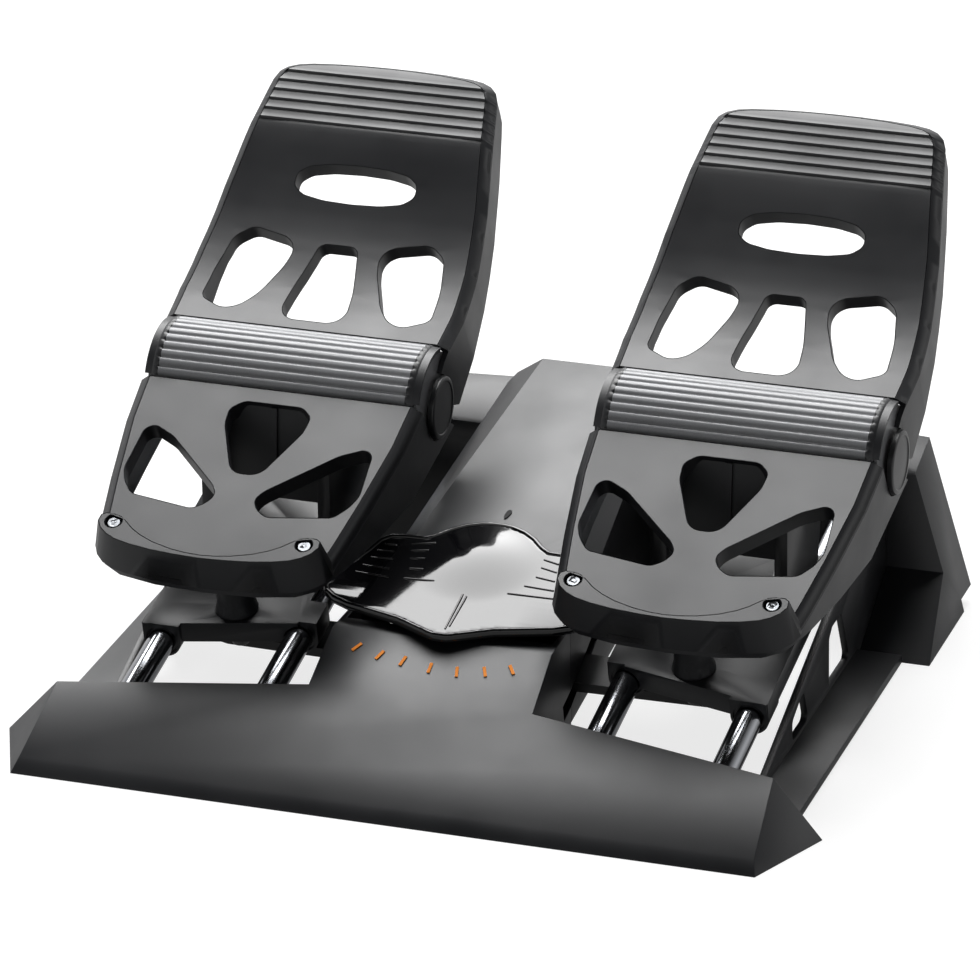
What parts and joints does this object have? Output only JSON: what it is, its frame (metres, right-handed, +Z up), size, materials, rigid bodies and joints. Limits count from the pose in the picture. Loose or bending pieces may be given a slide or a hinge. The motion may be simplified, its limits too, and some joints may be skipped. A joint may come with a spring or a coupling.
{
  "type": "flight simulator rudder pedals",
  "caption": "Desk-floor rudder pedals: sliding pedals on inclined rails linked by a rocker, with hinged toe plates for the brakes, on a wide low base.",
  "frame": {"origin": "middle of the footprint, on the surface that the rubber feet stand on", "axes": "+Z up, +X to the right of the pilot who sits in front of the object at -Y, +Y away from the pilot towards the rear bar"},
  "size_m": [0.378, 0.3472, 0.2227],
  "materials": {
    "charcoal_plastic": "fine-grained matte moulding",
    "graphite_plastic": "satin",
    "gloss_black": "polished",
    "bush_plastic": "smooth",
    "dark_chrome": "smoked chrome",
    "steel": "satin",
    "rubber": "matte",
    "orange_print": "satin",
    "board_green": "varnished"
  },
  "bodies": {
    "base": {"front_cover": "charcoal_plastic", "spine_cover": "charcoal_plastic", "rear_cover": "charcoal_plastic", "front_base_plate": "charcoal_plastic", "spine_base_plate": "charcoal_plastic", "rear_base_plate": "charcoal_plastic", "front_rail_block": "graphite_plastic", "rear_rail_block": "graphite_plastic", "rail_bumpers": "rubber", "rubber_feet": "rubber", "base_screws": "steel", "index_marks": "orange_print", "cable_gland": "graphite_plastic", "circuit_board": "board_green", "pivot_bush": "steel", "centring_spring": "steel", "rudder_sensor": "graphite_plastic", "left_side_frame": "charcoal_plastic", "right_side_frame": "charcoal_plastic", "left_outer_rail": "dark_chrome", "left_inner_rail": "dark_chrome", "right_inner_rail": "dark_chrome", "right_outer_rail": "dark_chrome"},
    "rocker": {"rocker_cover": "gloss_black", "rocker_arm": "graphite_plastic", "pivot_shaft": "steel", "rocker_screws": "steel"},
    "left_pedal": {"left_carriage": "charcoal_plastic", "left_rail_bushes": "bush_plastic", "left_drive_pin": "steel", "left_post": "charcoal_plastic", "left_tower": "graphite_plastic", "left_heel_plate": "charcoal_plastic", "left_heel_stop": "charcoal_plastic", "left_heel_screws": "steel", "left_axle": "steel", "left_toe_spring": "steel", "left_brake_sensor": "graphite_plastic"},
    "left_toe": {"left_toe_bracket": "graphite_plastic", "left_knuckle": "charcoal_plastic", "left_toe_plate": "charcoal_plastic", "left_axle_caps": "graphite_plastic"},
    "right_pedal": {"right_carriage": "charcoal_plastic", "right_rail_bushes": "bush_plastic", "right_drive_pin": "steel", "right_post": "charcoal_plastic", "right_tower": "graphite_plastic", "right_heel_plate": "charcoal_plastic", "right_heel_stop": "charcoal_plastic", "right_heel_screws": "steel", "right_axle": "steel", "right_toe_spring": "steel", "right_brake_sensor": "graphite_plastic"},
    "right_toe": {"right_toe_bracket": "graphite_plastic", "right_knuckle": "charcoal_plastic", "right_toe_plate": "charcoal_plastic", "right_axle_caps": "graphite_plastic"}
  },
  "joints": [
    {"name": "left_slide", "type": "slide", "parent": "base", "child": "left_pedal", "axis": [0, 0.9781, 0.2079], "range_m": [-0.04, 0.04], "stiffness_N_per_m": 120},
    {"name": "right_slide", "type": "slide", "parent": "base", "child": "right_pedal", "axis": [0, 0.9781, 0.2079], "range_m": [-0.04, 0.04]},
    {"name": "rocker_turn", "type": "hinge", "parent": "base", "child": "rocker", "pos_m": [0, -0.03957, 0.0302], "axis": [0, -0.2079, 0.9781], "range_deg": [-20.81, 20.81]},
    {"name": "left_brake", "type": "hinge", "parent": "left_pedal", "child": "left_toe", "pos_m": [-0.10775, 0.03243, 0.1065], "axis": [1, 0, 0], "range_deg": [-20, 0], "stiffness_Nm_per_rad": 4},
    {"name": "right_brake", "type": "hinge", "parent": "right_pedal", "child": "right_toe", "pos_m": [0.10775, 0.03243, 0.1065], "axis": [1, 0, 0], "range_deg": [-20, 0], "stiffness_Nm_per_rad": 4}
  ],
  "couplings": [
    {"joint": "right_slide", "follows": "left_slide", "ratio": -1},
    {"joint": "rocker_turn", "follows": "left_slide", "rad_per_m": -8.95}
  ]
}
